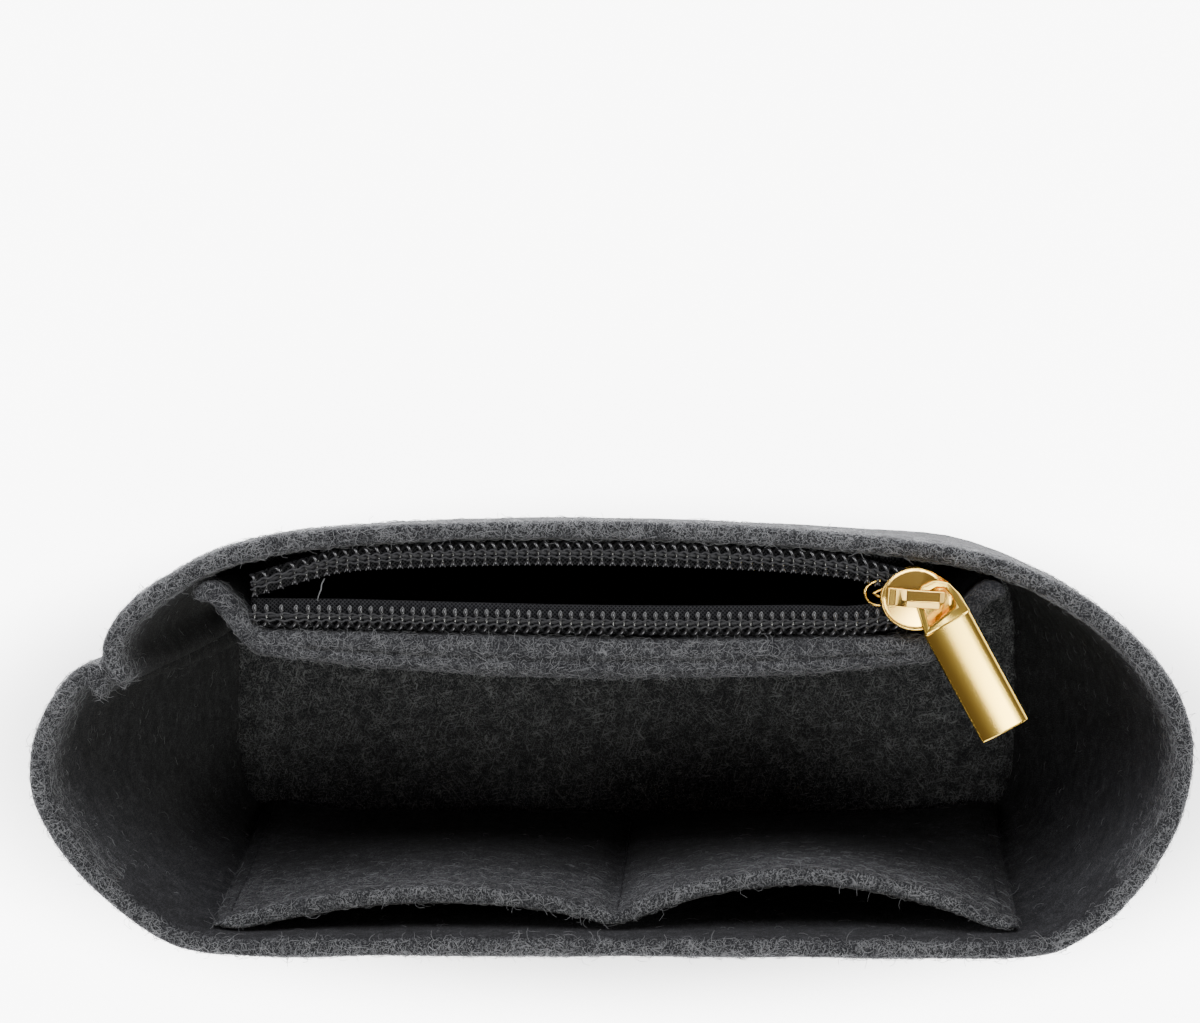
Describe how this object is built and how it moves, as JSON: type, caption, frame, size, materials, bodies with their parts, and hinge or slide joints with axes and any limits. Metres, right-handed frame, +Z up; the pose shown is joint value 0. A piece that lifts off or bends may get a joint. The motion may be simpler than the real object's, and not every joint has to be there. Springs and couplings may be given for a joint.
{
  "type": "purse organizer insert",
  "caption": "Open felt tray that stands in a small handbag, with slip pockets on its front wall and a zipped pocket on its back wall.",
  "frame": {"origin": "centre of the base's underside, on the surface that the insert stands on", "axes": "+Z up out of the open mouth, +X along the length towards the open end of the zip, -Y towards the front wall with the slip pockets"},
  "size_m": [0.1646, 0.0623, 0.0891],
  "materials": {
    "felt": "raw pressed felt, charcoal with lighter fibres",
    "zip_tape": "woven polyester tape",
    "zip_coil": "glossy nylon monofilament",
    "zip_thread": "twisted polyester thread",
    "sewing_thread": "twisted polyester thread",
    "slider_gold": "polished gold plate on die-cast zinc",
    "pull_gold": "satin gold plate on die-cast zinc"
  },
  "bodies": {
    "insert": {"wall_band": "felt", "base_panel": "felt", "slip_pocket_panel": "felt", "zip_pocket_panel": "felt", "zip_tape_back": "zip_tape", "zip_tape_front": "zip_tape", "wall_seam_thread": "sewing_thread", "base_seam_thread": "sewing_thread", "slip_left_thread": "sewing_thread", "slip_centre_thread": "sewing_thread", "slip_right_thread": "sewing_thread", "slip_foot_thread": "sewing_thread", "pocket_left_thread": "sewing_thread", "pocket_right_thread": "sewing_thread", "pocket_foot_thread": "sewing_thread", "pocket_hem_thread": "sewing_thread", "tape_back_thread": "sewing_thread", "tape_front_thread": "sewing_thread"},
    "back_row": {"zip_coil_back": "zip_coil", "zip_core_back": "zip_thread", "zip_stitch_back_inner": "zip_thread", "zip_stitch_back_outer": "zip_thread"},
    "front_row": {"zip_coil_front": "zip_coil", "zip_core_front": "zip_thread", "zip_stitch_front_inner": "zip_thread", "zip_stitch_front_outer": "zip_thread"},
    "slider": {"slider_body": "slider_gold"},
    "pull": {"pull": "pull_gold"}
  },
  "joints": [
    {"name": "slider_slide", "type": "slide", "parent": "insert", "child": "slider", "axis": [-1, 0, 0], "range_m": [0, 0.086], "deforming": ["zip_tape_back", "zip_tape_front", "zip_coil_back", "zip_coil_front", "zip_core_back", "zip_core_front", "zip_stitch_back_inner", "zip_stitch_back_outer", "zip_stitch_front_inner", "zip_stitch_front_outer"]},
    {"name": "back_row_draw", "type": "slide", "parent": "insert", "child": "back_row", "axis": [0, -1, 0], "range_m": [0, 0.0043]},
    {"name": "front_row_draw", "type": "slide", "parent": "insert", "child": "front_row", "axis": [0, 1, 0], "range_m": [0, 0.00215]},
    {"name": "pull_swivel", "type": "hinge", "parent": "slider", "child": "pull", "pos_m": [0.04615, 0.01991, 0.08705], "axis": [0, 0, 1], "range_deg": [-15, 75]}
  ],
  "couplings": [
    {"joint": "back_row_draw", "follows": "slider_slide", "ratio": 0.05},
    {"joint": "front_row_draw", "follows": "slider_slide", "ratio": 0.025}
  ]
}
